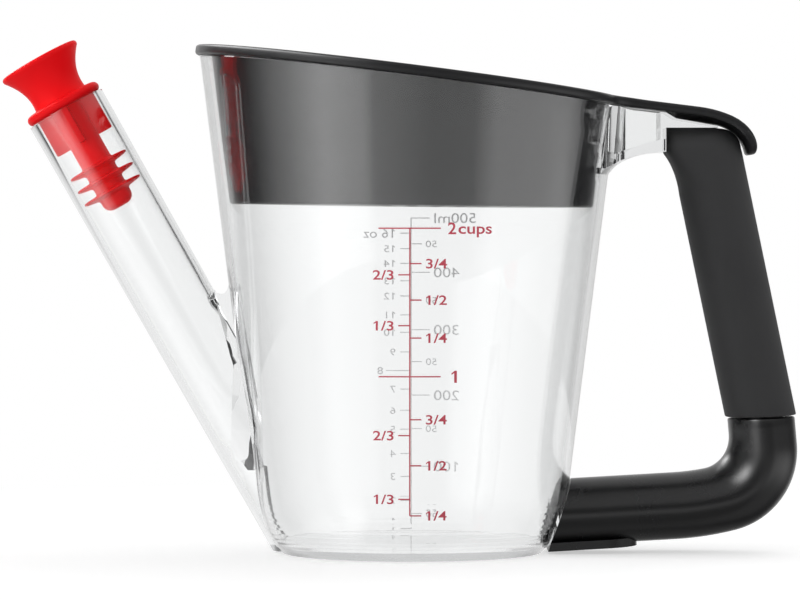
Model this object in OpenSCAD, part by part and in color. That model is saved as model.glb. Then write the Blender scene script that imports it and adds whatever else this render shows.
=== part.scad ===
// Gravy fat separator: a clear measuring jug whose spout leaves from the foot,
// so the gravy pours from below the fat that floats on top. A strainer lid
// lifts out of the mouth, a soft stopper pulls out of the spout, and the
// handle is a hard frame with a soft grip.
// Millimetres. Z is up, +X points to the handle, and the origin is the centre
// of the jug's foot, on the table.

/* [Cup] */
// Height of the rim plane on the cup's axis
rim_h = 122.1; // [116:0.5:128]
// Fall of the rim from the spout to the handle, degrees
rim_tilt = 7.1; // [5:0.1:9]
// Outer radius where the curved heel meets the straight wall
heel_r = 41.2; // [39:0.1:44]
// Height where the curved heel meets the straight wall
heel_h = 19.2; // [17:0.1:22]
// Flare of the straight wall, degrees
flare = 7.15; // [6:0.05:8]
// Outer radius of the foot on the table
foot_r = 33.8; // [32:0.1:36]
// Thickness of the cup's wall
wall = 2; // [1.6:0.1:2.4]
// Height of the floor inside the cup
floor_h = 2.6; // [2.2:0.1:3.2]

/* [Spout] */
// Lean of the spout from upright, degrees
spout_lean = 29.5; // [27:0.5:31]
// Length of the spout's axis from the table to the mouth
spout_len = 132.3; // [126:0.5:138]
// Where the spout's axis meets the table, inside the foot's edge
spout_inset = 9.2; // [8:0.1:11]
// Outer radius at the mouth
spout_r = 10.6; // [10:0.1:11.5]
// Wall of the spout
spout_wall = 1.9; // [1.6:0.1:2.2]
// Draft of the spout: radius lost per millimetre of length
spout_draft = 0.006; // [0.004:0.001:0.01]
// Clearance of the spout's foot above the table
spout_lift = 0.4; // [0.2:0.1:0.8]
// Distance of the partition's spout face outside the heel
partition_out = 5.2; // [4.4:0.1:6]
// Height where the partition leaves the spout's bore
partition_top = 65; // [60:0.5:68]
// Height of the bend in the partition's spout face
partition_bend = 48.6; // [44:0.2:54]
// Height of the partition's lower edge
partition_h = 21.8; // [19:0.1:25]
// Height of the slant at the partition's lower end
partition_slant = 5.8; // [4:0.1:7]
// Depth of the slant at the partition's lower end
partition_cut = 4.4; // [3:0.1:5]
// Radius of the fillet in the crotch between spout and cup
crotch_r = 2.1; // [1.4:0.1:2.4]
// Width of the crotch's fillet across the spout
crotch_w = 9; // [6:0.5:12]

/* [Arm] */
// Length of the clear arm from the cup's rim to the grip
arm_len = 12.2; // [10:0.1:15]
// Width of the arm
arm_w = 23.2; // [21:0.2:24]
// Radius of the fillets that join the arm to the cup, seen from above
arm_fillet = 7.4; // [5:0.1:9]
// Depth of the arm at the grip
arm_d = 10.1; // [9:0.1:11]
// Depth of the arm's underside curve against the cup
arm_root = 9.4; // [7:0.1:12]
// Wall around the arm's pocket
arm_wall = 2.2; // [1.8:0.1:2.6]
// Wall between the arm's pocket and the grip
pocket_end = 1.4; // [1.2:0.1:2.4]
// Thickness of the arm's cover over the grip, at its root
cover_t = 3.9; // [3.4:0.1:4.4]
// Length of the arm's cover over the grip
cover_len = 13.4; // [11:0.1:14.5]
// Drop of the cover below the rim plane, for the rib under the thumb tab
cover_drop = 1.2; // [1.1:0.1:1.4]
// Thickness of the tongue that enters the handle
tongue_t = 3; // [2.4:0.1:3.4]
// Width of the tongue
tongue_w = 12; // [9:0.5:13]
// Length of the tongue
tongue_len = 12.5; // [9:0.5:13]

/* [Handle] */
// Lean of the grip from upright, degrees
grip_lean = 11.75; // [10:0.25:13]
// Thickness of the grip, seen from the side
grip_w = 18.1; // [16.5:0.1:19]
// Width of the grip, seen from the front
grip_d = 23.2; // [21:0.1:25]
// Distance of the grip's axis behind the end of the arm, at its top
grip_set = 9.8; // [9.6:0.1:10.4]
// Radius of the grip's rear top corner
grip_round = 5.5; // [4.5:0.1:6]
// Radius of the grip's top corners, seen from the front
grip_shoulder = 6; // [4:0.5:8]
// Height of the parting line between grip and elbow
parting_h = 35; // [32:0.5:38]
// Rise of the parting line to the rear, degrees
parting_tilt = 2; // [0:0.5:4]
// Width of the groove at the parting line
parting_gap = 0.5; // [0.3:0.1:0.8]
// Thickness of the elbow, seen from the side
elbow_w = 17.4; // [16:0.1:18]
// Width of the elbow, seen from the front
elbow_d = 22.8; // [20:0.1:24]
// Lean of the elbow's upright end, degrees
leg_lean = 5; // [3:0.5:7]
// Radius of the elbow's bend along its middle
bend_r = 12.7; // [11:0.1:14]
// Height of the centre of the elbow's bend
bend_h = 26.4; // [25.6:0.1:28]
// Angle of the tight bend, degrees
bend_turn = 81; // [79:0.5:82]
// Radius of the gentle bend that follows it
sweep_r = 75; // [65:1:85]
// Angle of the gentle bend, degrees
sweep_turn = 10.7; // [9:0.1:11]
// Skin of the soft grip over its core
skin = 3; // [2.6:0.1:3.6]
// Thickness of the walls around the tongue's socket
socket_wall = 1.4; // [1.2:0.1:1.6]

/* [Foot of the handle] */
// Distance of the pad's face outside the heel
pad_out = 0.2; // [0:0.1:0.6]
// Height where the pad's face meets the heel
pad_h = 18.7; // [17.5:0.1:20]
// Slant of the pad's face from upright, degrees
pad_slant = 18.4; // [17:0.2:20]
// Thickness of the lug inside the elbow
lug_t = 6; // [5:0.1:7]
// Width of the lug
lug_w = 11; // [9:0.5:12]
// Length of the lug
lug_len = 14; // [12:0.5:16]
// Radius of the screw's shank
screw_r = 1.45; // [1.2:0.05:1.6]
// Radius of the screw's head
screw_head_r = 2.9; // [2.5:0.1:3.1]
// Height of the screw's head
screw_head_t = 1.7; // [1.4:0.1:2]
// Length of the screw under its head
screw_len = 8; // [7:0.5:8.5]
// Distance of the screw from the pad's face
screw_in = 7.5; // [6.5:0.1:8.5]
// Length of the cover over the screw, from the middle of the pad's face
plate_len = 19.5; // [17:0.5:21]
// Width of the cover over the screw
plate_w = 15; // [12:0.5:16]
// Depth of the cover's seat in the elbow
plate_in = 1.3; // [1:0.1:1.6]
// Height of the cover below the elbow
plate_out = 0.9; // [0.6:0.1:1]

/* [Strainer lid] */
// Thickness of the rim band
band_t = 2.5; // [2:0.1:3]
// Overhang of the rim band outside the cup
band_out = 0.9; // [0.4:0.1:1.4]
// Thickness of the skirt
skirt_t = 1.8; // [1.4:0.1:2.2]
// Thickness of the strainer's floor
strainer_t = 1.8; // [1.4:0.1:2.2]
// Height of the strainer's underside on the cup's axis
strainer_h = 90; // [86:0.5:93]
// Fall of the strainer's floor to the handle, degrees
strainer_tilt = 0.6; // [0:0.1:1.5]
// Radius of each strainer hole
hole_r = 1.6; // [1.2:0.1:1.9]
// Distance between the rings of holes
hole_pitch = 6.4; // [5.4:0.1:7.5]
// Solid part of the floor at the spout, as a share of its radius
shield = 0.3; // [0.1:0.05:0.6]
// Width of the thumb tab
tab_w = 24; // [20:0.5:25]
// Thickness of the thumb tab
tab_t = 2.3; // [1.9:0.1:2.4]
// Radius of the tab's corners, seen from above
tab_round = 8; // [6:0.5:9]
// Thickness of the tab's rib
rib_t = 0.8; // [0.6:0.1:0.9]
// Width of the tab's rib
rib_w = 15; // [12:0.5:17]
// Radius of the tab's gentle curve
tab_curve = 30; // [26:1:34]
// Radius of the tab's curled end
tab_curl = 12.5; // [11.5:0.1:13.5]
// Slope of the tab where the curl starts, degrees
tab_turn = 24; // [22:1:26]
// Slope of the tab at its tip, degrees
tab_tip = 76; // [70:1:80]

/* [Stopper] */
// Radius of the stopper's stem
stem_r = 4.2; // [3.6:0.1:4.8]
// Length of the stem below the mouth
stem_len = 29; // [26:0.5:32]
// Radius of the flange on the mouth
flange_r = 10.4; // [9.8:0.1:11]
// Thickness of the flange
flange_t = 2.6; // [2:0.1:3]
// Radius of the neck over the flange
neck_r = 7.1; // [6.4:0.1:7.8]
// Radius of the bell at its lip
bell_r = 10.9; // [10:0.1:11.6]
// Height of the bell's lip above the mouth
bell_h = 14.6; // [13:0.1:16]
// Depth of the dish in the bell
dish_d = 3.6; // [2.5:0.1:4.5]
// Length of the four guide ribs
guide_len = 9.9; // [8:0.1:11]
// Thickness of the guide ribs
guide_t = 1.7; // [1.4:0.1:2]
// Distance of the upper sealing fin below the mouth
fin_at = 17; // [15:0.1:18]
// Distance between the sealing fins
fin_pitch = 3.7; // [3.2:0.1:4]
// Number of sealing fins
fins = 3; // [2:1:3]

/* [Clearances] */
// Gap between parts that lift off and what they sit on
seat_gap = 0.15; // [0.1:0.05:0.3]
// Gap between the skirt and the inside of the cup
skirt_gap = 1; // [0.8:0.1:1.4]
// Gap between the stopper's ribs and fins and the bore
bore_gap = 0.3; // [0.2:0.05:0.5]
// Gap around the tongue, the lug and the cover in the handle
fit_gap = 0.1; // [0.05:0.05:0.2]
// Gap around the screw's shank
screw_gap = 0.05; // [0.02:0.01:0.1]

/* [Hidden] */
$fn = 96;

big = 400;
rim_fall = tan(rim_tilt);
flare_rise = tan(flare);
lean_run = tan(spout_lean);

// Outer radius of the cup's straight wall at a height
function cup_r(z) = heel_r + (z - heel_h) * flare_rise;

// Height of the rim plane at a distance from the axis
function rim_z(x) = rim_h - x * rim_fall;

// Height at a distance from the axis of the plane that lies up over the seated lid's underside
function over_rim(x, up) = rim_z(x) + (seat_gap + up) / cos(rim_tilt);

// Points of a quadratic curve from a to c, drawn to b
function curve(a, b, c, n = 12) =
    [for (i = [0:n]) let (t = i / n) (1 - t) * (1 - t) * a + 2 * t * (1 - t) * b + t * t * c];

// Points of an arc about a centre
function arc(c, r, from, to, n = 12) =
    [for (i = [0:n]) let (a = from + (to - from) * i / n) c + r * [cos(a), sin(a)]];

// Unit vector at an angle in the side view
function ray(a) = [cos(a), sin(a)];

wall_top = rim_h + 40 * rim_fall + 40;
heel_bend = 0.73 * heel_h;
heel_in = 0.5;

// Spout: its axis, and the crotch where its right edge meets the cup's wall
spout_foot_x = spout_inset - foot_r;
spout_mouth = [spout_foot_x - spout_len * sin(spout_lean), spout_len * cos(spout_lean)];
spout_sink = 12;
crotch_len = 64;
crotch_edge = (spout_r - spout_draft * crotch_len) / cos(spout_lean);
crotch_z = (spout_foot_x + crotch_edge + heel_r - heel_h * flare_rise) / (lean_run - flare_rise);
crotch = [-cup_r(crotch_z), crotch_z];
crotch_half = (spout_lean - flare) / 2;
crotch_axis = 90 + (spout_lean + flare) / 2;
crotch_depth = crotch_r / sin(crotch_half);
crotch_eye = crotch + crotch_depth * ray(crotch_axis);
crotch_side = crotch_r / tan(crotch_half);
crotch_sink = 6;
partition_x = -heel_r - partition_out;

// Where the cup's side of the bore is at a height, in the side view
function bore_edge(z) = spout_foot_x - z * lean_run
    + (bore_top_r - spout_draft * (spout_len - z / cos(spout_lean))) / cos(spout_lean);

// Arm: where the rim meets it, and where it meets the grip
rim_end = (heel_r + (rim_h - heel_h) * flare_rise) / (1 + rim_fall * flare_rise);
arm_end = rim_end + arm_len;
arm_low = rim_z(arm_end) - arm_d;
arm_start = cup_r(arm_low - arm_root) - wall / 2;
root_h = rim_z(rim_end) - arm_d / 2;
root_r = cup_r(root_h);
root_deep = 10;
// The curve of the arm's underside bends this far out of the cup and below the arm
cove_out = 1.8;
cove_down = 0.5;
pocket_fall = 1;
cover_thin = 0.6;
grip_top = rim_z(arm_end) - cover_t;
cover_end = arm_end + cover_len;
tongue_drop = 1.2;
tongue_mid = (arm_low + grip_top) / 2 - tongue_drop;
// Overlap of a tongue or lug with the solid that it grows from
tongue_root = 1;
lug_root = 4;
pad_deep = 12;
tab_step = 2.5;
tab_rib_x = arm_end + tab_step;

// Handle: its axis from the grip's top to the pad on the cup
grip_x = arm_end + grip_set;
parting_x = grip_x + (grip_top - parting_h) * tan(grip_lean);
leg_end_z = bend_h + bend_r * sin(leg_lean);
leg_end_x = parting_x + (parting_h - leg_end_z) * tan(leg_lean);
bend_eye = [leg_end_x - bend_r * cos(leg_lean), bend_h];
bend_last = leg_lean - bend_turn;
sweep_eye = bend_eye + (bend_r - sweep_r) * ray(bend_last);
sweep_last = bend_last - sweep_turn;
run_start = sweep_eye + sweep_r * ray(sweep_last);
run_tilt = 90 + sweep_last;
pad_x = heel_r + pad_out;
// The run's axis meets the slanted face of the pad here
run_end_x = (pad_x + (run_start[1] - run_start[0] * tan(run_tilt) - pad_h) * tan(pad_slant))
    / (1 - tan(run_tilt) * tan(pad_slant));
run_end = [run_end_x, run_start[1] - (run_start[0] - run_end_x) * tan(run_tilt)];
run_len = norm(run_start - run_end);
slim = 0.04;
lap = 0.3;
mouth_slim = 3.2;
mouth_w = grip_d - mouth_slim;
mouth_drop = 6;
// The lip under the arm: its bevel, the bend of its curve, and where it meets the grip
mouth_bevel = 0.8;
lip_in = 3.2;
lip_down = 3.6;
lip_len = 17;
core_slim = 2;
core_sink = 1;
core_w = grip_w - 2 * skin;
core_d = grip_d - 2 * skin - core_slim;
head_spare = 1;
head_t = tongue_t + 2 * fit_gap + 2 * socket_wall;
head_w = tongue_w + 2 * fit_gap + 2 * socket_wall + head_spare;
head_len = tongue_len + socket_wall + fit_gap;
head_in = 1.2;

// Screw: the cross in its head, and depths below the run's axis
cross_w = 0.7;
cross_deep = 0.9;
seat_down = elbow_w / 2 - plate_in;
head_down = seat_down - screw_head_t - fit_gap;

// Strainer lid: the skirt's lower edge, and the arcs of the thumb tab
skirt_r0 = cup_r(strainer_h) - wall - skirt_gap;
tab_in = (band_t - tab_t) / 2;
tab_bend_in = 1.2;
tab_start_x = grip_x - tab_bend_in;
tab_start = [tab_start_x, over_rim(tab_start_x, band_t - tab_in)];
rib_step = 1;
rib_stop = 4;
tab_eye = tab_start - tab_curve * ray(90 - rim_tilt);
curl_start = tab_eye + tab_curve * ray(90 - tab_turn);
curl_eye = curl_start - tab_curl * ray(90 - tab_turn);

bore_top_r = spout_r - spout_wall;
fin_r = bore_top_r - spout_draft * (fin_at + fins * fin_pitch) - bore_gap;

// Side view: x to the right and z up, extruded across the model
module side(w) {
    rotate([90, 0, 0])
        linear_extrude(w, center = true)
            children();
}

// All space below the rim plane, raised by lift along its normal
module under_rim(lift = 0) {
    translate([0, 0, rim_h])
        rotate([0, rim_tilt, 0])
            translate([-big / 2, -big / 2, lift - big])
                cube([big, big, big]);
}

// All space above a height
module above(z) {
    translate([-big / 2, -big / 2, z])
        cube([big, big, big]);
}

// An oval of four arcs, w along x and d along y
module oval(w, d) {
    end_r = 0.34 * w;
    end_y = d / 2 - end_r;
    side_r = ((w / 2) ^ 2 + end_y ^ 2 - end_r ^ 2) / (w - 2 * end_r);
    side_x = side_r - w / 2;
    join_y = side_r * end_y / (side_r - end_r);
    for (s = [-1, 1])
        translate([0, s * end_y])
            circle(end_r);
    intersection() {
        square([w + 1, 2 * join_y], center = true);
        translate([side_x, 0])
            circle(side_r);
        translate([-side_x, 0])
            circle(side_r);
    }
}

// Local frame of the spout: its origin is the mouth, and z points outwards
module at_mouth() {
    translate([spout_mouth[0], 0, spout_mouth[1]])
        rotate([0, -spout_lean, 0])
            children();
}

// Local frame of the run: its origin is the pad's face, and x points to the rear
module at_run() {
    translate([run_end[0], 0, run_end[1]])
        rotate([0, -run_tilt, 0])
            children();
}

// ---- Jug -------------------------------------------------------------------

// The cup's solid, grown by extra, up to wall_top
module cup_solid(extra = 0) {
    heel = curve([foot_r, 0], [cup_r(heel_h - heel_bend), heel_h - heel_bend], [heel_r, heel_h]);
    rotate_extrude()
        polygon(concat([[0, 0]], [for (p = heel) [p[0] + extra, p[1]]],
            [[cup_r(wall_top) + extra, wall_top], [0, wall_top]]));
}

// The cup's inside, from its floor up
module cup_inside() {
    heel = curve([foot_r - heel_in, floor_h],
        [cup_r(heel_h - heel_bend) - wall, heel_h - heel_bend + 1], [heel_r - wall, heel_h]);
    rotate_extrude()
        polygon(concat([[0, floor_h]], heel, [[cup_r(wall_top) - wall, wall_top], [0, wall_top]]));
}

module spout_tube() {
    length = spout_len + spout_sink;
    intersection() {
        at_mouth()
            translate([0, 0, -length])
                cylinder(h = length, r1 = spout_r - spout_draft * length, r2 = spout_r);
        above(spout_lift);
    }
}

module spout_bore() {
    length = spout_len + spout_sink;
    difference() {
        intersection() {
            at_mouth()
                translate([0, 0, -length])
                    cylinder(h = length + 1, r1 = bore_top_r - spout_draft * length, r2 = bore_top_r);
            above(floor_h);
        }
        // The partition between the channel and the cup
        side(3 * spout_r)
            polygon([[bore_edge(partition_top), partition_top], [partition_x, partition_bend],
                [partition_x, partition_h + partition_slant],
                [partition_x + partition_cut, partition_h], [0, partition_h], [0, partition_top]]);
    }
}

// Fillet in the crotch between the spout and the cup
module crotch_fillet() {
    side(crotch_w)
        difference() {
            polygon([crotch - [0, crotch_sink], crotch + crotch_side * ray(90 + spout_lean), crotch_eye,
                crotch + crotch_side * ray(90 + flare) + [wall / 2, 0],
                crotch + [wall / 2, -crotch_sink]]);
            translate(crotch_eye)
                circle(crotch_r);
        }
}

// Plan fillets between a bar of width w and the cup's wall, grown by extra
module root_fillets(w, extra) {
    reach = root_r + extra;
    eye_y = w / 2 + arm_fillet;
    eye_x = sqrt((reach + arm_fillet) ^ 2 - eye_y ^ 2);
    edge_y = eye_y * reach / (reach + arm_fillet);
    translate([eye_x, 0, 0])
        linear_extrude(wall_top)
            difference() {
                translate([-arm_fillet - root_deep, -edge_y])
                    square([arm_fillet + root_deep, 2 * edge_y]);
                for (s = [-1, 1])
                    translate([0, s * eye_y])
                        circle(arm_fillet);
            }
}

// All space above the arm's underside, which runs round the cup as a cove
module above_cove() {
    low = curve([arm_start, arm_low - arm_root], [arm_start + cove_out, arm_low - cove_down],
        [arm_end, arm_low]);
    rotate_extrude()
        polygon(concat([[arm_start - root_deep, wall_top], [arm_start - root_deep, arm_low - arm_root]],
            low, [[cover_end + arm_w, arm_low], [cover_end + arm_w, wall_top]]));
}

// The clear arm with its cover over the grip
module arm() {
    intersection() {
        side(2 * arm_w)
            polygon([[0, wall_top], [0, arm_low - arm_root - 1], [arm_end, arm_low - arm_root - 1],
                [arm_end, grip_top], [cover_end, grip_top],
                [cover_end, rim_z(cover_end) - cover_drop - cover_thin],
                [tab_rib_x, rim_z(tab_rib_x) - cover_drop], [arm_end, rim_z(arm_end)],
                [arm_end, wall_top]]);
        above_cove();
        union() {
            root_fillets(arm_w, 0);
            linear_extrude(wall_top)
                translate([arm_start - root_deep, -arm_w / 2])
                    square([cover_end - arm_start + root_deep, arm_w]);
        }
    }
}

// Pocket in the arm, open to the rim
module arm_pocket() {
    difference() {
        side(arm_w - 2 * arm_wall)
            polygon([[arm_start, wall_top], [arm_start, arm_low - pocket_fall],
                [arm_end - pocket_end, arm_low + arm_wall + pocket_fall],
                [arm_end - pocket_end, wall_top]]);
        cup_solid();
    }
}

module tongue(gap = 0) {
    translate([arm_end - tongue_root, -tongue_w / 2 - gap, tongue_mid - tongue_t / 2 - gap])
        cube([tongue_root + tongue_len + gap, tongue_w + 2 * gap, tongue_t + 2 * gap]);
}

// All space on the cup's side of the pad's face
module inside_pad_face() {
    translate([pad_x, 0, pad_h])
        rotate([0, pad_slant, 0])
            translate([-big, -big / 2, -big / 2])
                cube([big, big, big]);
}

// Pad on the heel that the elbow stops against
module pad() {
    intersection() {
        at_run()
            rotate([0, -90, 0])
                linear_extrude(pad_deep)
                    oval(elbow_w, elbow_d);
        inside_pad_face();
        above(spout_lift);
    }
}

module lug(gap = 0) {
    translate([-lug_root, -lug_w / 2 - gap, -lug_t / 2 - gap])
        cube([lug_root + lug_len + gap, lug_w + 2 * gap, lug_t + 2 * gap]);
}

module jug_body() {
    color([0.84, 0.87, 0.9, 0.4])
        difference() {
            union() {
                intersection() {
                    union() {
                        cup_solid();
                        arm();
                    }
                    under_rim();
                }
                spout_tube();
                crotch_fillet();
                pad();
                tongue();
                at_run()
                    lug();
            }
            cup_inside();
            spout_bore();
            arm_pocket();
            at_run()
                translate([screw_in, 0, -lug_t])
                    cylinder(h = lug_t / 2 + screw_len, r = screw_r + screw_gap);
        }
}

// ---- Strainer lid ----------------------------------------------------------

// Space between two planes that fall to the handle
module tilted_slab(h, tilt, low, high) {
    translate([0, 0, h])
        rotate([0, tilt, 0])
            translate([-big / 2, -big / 2, low])
                cube([big, big, high - low]);
}

// Cone that runs a distance inside the cup's outer face
module cup_cone(inset) {
    cylinder(h = wall_top, r1 = cup_r(0) - inset, r2 = cup_r(wall_top) - inset);
}

// Side view of the thumb tab: straight from the cup's axis, then two arcs down to a round tip
module tab_outline() {
    top = concat([[0, over_rim(0, band_t - tab_in)]],
        arc(tab_eye, tab_curve, 90 - rim_tilt, 90 - tab_turn, 6),
        arc(curl_eye, tab_curl, 90 - tab_turn, 90 - tab_tip, 12));
    tip_eye = curl_eye + (tab_curl - tab_t / 2) * ray(90 - tab_tip);
    end = arc(tip_eye, tab_t / 2, 90 - tab_tip, -90 - tab_tip, 8);
    low = concat(arc(curl_eye, tab_curl - tab_t, 90 - tab_tip, 90 - tab_turn, 12),
        arc(tab_eye, tab_curve - tab_t, 90 - tab_turn, 90 - rim_tilt, 6));
    polygon(concat(top, end, low, [[0, over_rim(0, tab_in)]]));
}

// Thumb tab, from the rim band to its curled tip
module thumb_tab() {
    tip_x = curl_eye[0] + tab_curl + 1;
    intersection() {
        side(2 * tab_w)
            tab_outline();
        union() {
            root_fillets(tab_w, band_out);
            linear_extrude(wall_top) {
                translate([0, -tab_w / 2])
                    square([tip_x - tab_round, tab_w]);
                translate([0, -tab_w / 2 + tab_round])
                    square([tip_x, tab_w - 2 * tab_round]);
                for (s = [-1, 1])
                    translate([tip_x - tab_round, s * (tab_w / 2 - tab_round)])
                        circle(tab_round);
            }
        }
    }
}

// Rib under the tab, over the arm's cover
module tab_rib() {
    from_x = tab_rib_x + rib_step;
    to_x = tab_start[0];
    end = ray(90 - tab_turn + rib_stop);
    side(rib_w)
        polygon([[from_x, over_rim(from_x, band_t / 2)], [to_x, over_rim(to_x, band_t / 2)],
            tab_eye + (tab_curve - tab_t / 2) * end, tab_eye + (tab_curve - tab_t - rib_t) * end,
            [to_x, over_rim(to_x, -rib_t)], [from_x, over_rim(from_x, -rib_t)]]);
}

module strainer_holes() {
    edge = skirt_r0 - skirt_t - 2 * hole_r;
    rings = floor(edge / hole_pitch);
    for (ring = [0:rings]) {
        r = ring * hole_pitch;
        count = max(1, 6 * ring);
        for (i = [0:count - 1]) {
            a = i * 360 / count + (ring % 2) * 180 / count;
            if (r * cos(a) > -shield * edge)
                translate([r * cos(a), r * sin(a), strainer_h - 10])
                    cylinder(h = 20, r = hole_r, $fn = 24);
        }
    }
}

module strainer_lid() {
    high = band_t + seat_gap;
    color([0.2, 0.2, 0.21])
        difference() {
            union() {
                difference() {
                    intersection() {
                        cup_solid(band_out);
                        tilted_slab(rim_h, rim_tilt, seat_gap, high);
                    }
                    cup_cone(wall + skirt_gap + skirt_t);
                }
                difference() {
                    intersection() {
                        cup_cone(wall + skirt_gap);
                        under_rim(high - band_t / 2);
                        tilted_slab(strainer_h, strainer_tilt, 0, big / 2);
                    }
                    intersection() {
                        cup_cone(wall + skirt_gap + skirt_t);
                        tilted_slab(strainer_h, strainer_tilt, strainer_t, big / 2);
                    }
                }
                difference() {
                    union() {
                        thumb_tab();
                        tab_rib();
                    }
                    cup_cone(wall + skirt_gap + skirt_t / 2);
                }
            }
            strainer_holes();
        }
}

// ---- Stopper ---------------------------------------------------------------

module spout_stopper() {
    tip_r = 2.4;
    flange_low = seat_gap;
    flange_high = flange_low + flange_t;
    edge = flange_t / 2;
    fin = [for (i = [fins - 1:-1:0]) let (z = -fin_at - i * fin_pitch)
        each [[stem_r, z - 0.9], [fin_r - 0.3, z - 0.35], [fin_r, z], [fin_r - 0.3, z + 0.35],
            [stem_r, z + 0.7]]];
    outline = concat([[0, -stem_len]], arc([stem_r - tip_r, tip_r - stem_len], tip_r, -90, 0, 6), fin,
        [[stem_r, flange_low]], arc([flange_r - edge, flange_low + edge], edge, -90, 90, 8),
        curve([neck_r + 0.2, flange_high], [neck_r - 0.9, 8], [bell_r - 0.1, bell_h - 1.2], 10),
        arc([bell_r - 0.7, bell_h - 0.7], 0.7, 0, 150, 6),
        curve([bell_r - 2, bell_h - 0.9], [bell_r - 5, bell_h - dish_d], [0, bell_h - dish_d], 8));
    color([0.86, 0.06, 0.08])
        at_mouth() {
            rotate_extrude()
                polygon(outline);
            intersection() {
                for (a = [0, 90])
                    rotate([0, 0, a])
                        translate([-fin_r, -guide_t / 2, -guide_len])
                            cube([2 * fin_r, guide_t, guide_len + flange_low + edge]);
                translate([0, 0, -guide_len])
                    cylinder(h = guide_len + flange_high, r = fin_r);
            }
        }
}

// ---- Handle ----------------------------------------------------------------

// All space above the parting line, raised by lift
module above_parting(lift = 0) {
    translate([parting_x, 0, parting_h + lift])
        rotate([0, -parting_tilt, 0])
            translate([-big / 2, -big / 2, 0])
                cube([big, big, big]);
}

// Straight oval bar along the grip's axis, from below the parting line to the top
module grip_bar(w, d, top) {
    translate([parting_x, 0, parting_h])
        rotate([0, -grip_lean, 0])
            translate([0, 0, -10])
                linear_extrude((top - parting_h) / cos(grip_lean) + 10)
                    oval(w, d);
}

// Side view of the grip: the mouth at the arm, the flat top and the round rear corner
module grip_side() {
    face = arm_end;
    rear_x = grip_x + grip_w / 2 / cos(grip_lean);
    front_x = grip_x - grip_w / 2 / cos(grip_lean);
    lean = tan(grip_lean);
    down = grip_top - parting_h + grip_w / 2;
    corner = [rear_x + grip_round * lean - grip_round / cos(grip_lean), grip_top - grip_round];
    polygon(concat([[face + mouth_bevel, grip_top], [face, grip_top - mouth_bevel]],
        curve([face, arm_low], [face + lip_in, arm_low - lip_down],
            [front_x + lip_len * lean, grip_top - lip_len], 6),
        [[front_x + down * lean, grip_top - down], [rear_x + down * lean, grip_top - down]],
        arc(corner, grip_round, grip_lean, 90, 8)));
}

// Front view of the grip: round shoulders
module grip_front() {
    half = grip_d / 2 + 0.5;
    translate([-half, 0])
        square([2 * half, grip_top - grip_shoulder]);
    translate([grip_shoulder - half, 0])
        square([2 * (half - grip_shoulder), grip_top]);
    for (s = [-1, 1])
        translate([s * (half - grip_shoulder), grip_top - grip_shoulder])
            circle(grip_shoulder);
}

// Block at the top of the core that takes the tongue
module core_head() {
    translate([arm_end + head_in, -head_w / 2, tongue_mid - head_t / 2])
        cube([head_len - head_in, head_w, head_t]);
}

// The core inside the grip
module core() {
    intersection() {
        grip_bar(core_w, core_d, tongue_mid);
        above_parting(-core_sink);
    }
    core_head();
}

module soft_grip() {
    color([0.16, 0.16, 0.17])
        difference() {
            intersection() {
                union() {
                    grip_bar(grip_w, grip_d, grip_top + grip_w);
                    translate([arm_end, 0, arm_low - mouth_drop])
                        rotate([0, -grip_lean, 0])
                            translate([-mouth_drop, -mouth_w / 2, 0])
                                cube([grip_set + mouth_drop, mouth_w, 2 * grip_w]);
                }
                side(2 * grip_d)
                    grip_side();
                rotate([90, 0, 90])
                    linear_extrude(big / 2)
                        grip_front();
                above_parting(parting_gap);
            }
            core();
            tongue(fit_gap);
        }
}

// Oval bar turned about a centre in the side view, thinner than the elbow by slim
module oval_bend(eye, r, from, turn, slim = 0) {
    translate([eye[0], 0, eye[1]])
        rotate([90, 0, 0])
            rotate([0, 0, from])
                rotate_extrude(angle = turn, $fn = 144)
                    translate([r, 0])
                        oval(elbow_w - slim, elbow_d - slim);
}

// Each stretch is a hair thinner than the bend it leaves, and starts inside it
module elbow() {
    difference() {
        union() {
            difference() {
                translate([leg_end_x, 0, leg_end_z])
                    rotate([0, -leg_lean, 0])
                        translate([0, 0, -lap])
                            linear_extrude(parting_h - leg_end_z + 4)
                                oval(elbow_w - slim, elbow_d - slim);
                above_parting();
            }
            oval_bend(bend_eye, bend_r, bend_last, bend_turn);
            oval_bend(sweep_eye, sweep_r, sweep_last, sweep_turn + lap / sweep_r * 57.3, slim);
            translate([run_start[0], 0, run_start[1]])
                rotate([0, -90 - run_tilt, 0])
                    translate([0, 0, -lap])
                        linear_extrude(run_len + elbow_w / 2)
                            oval(elbow_w - 2 * slim, elbow_d - 2 * slim);
        }
        inside_pad_face();
        cup_solid(fit_gap);
    }
}

// Plate over the screw, let into the underside of the run, with a round rear end
module cover_plate(gap = 0) {
    translate([0, 0, -elbow_w / 2 - plate_out])
        linear_extrude(plate_out + plate_in) {
            translate([-elbow_w / 2, -plate_w / 2 - gap])
                square([plate_len - plate_w / 2 + elbow_w / 2, plate_w + 2 * gap]);
            translate([plate_len - plate_w / 2, 0])
                circle(plate_w / 2 + gap);
        }
}

module handle_frame() {
    color([0.13, 0.13, 0.14])
        difference() {
            union() {
                elbow();
                core();
            }
            tongue(fit_gap);
            at_run() {
                lug(fit_gap);
                cover_plate(fit_gap);
                translate([screw_in, 0, -elbow_w / 2])
                    cylinder(h = elbow_w / 2 - head_down, r = screw_head_r + fit_gap);
                translate([screw_in, 0, -elbow_w / 2])
                    cylinder(h = elbow_w / 2, r = screw_r + screw_gap);
            }
        }
}

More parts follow.
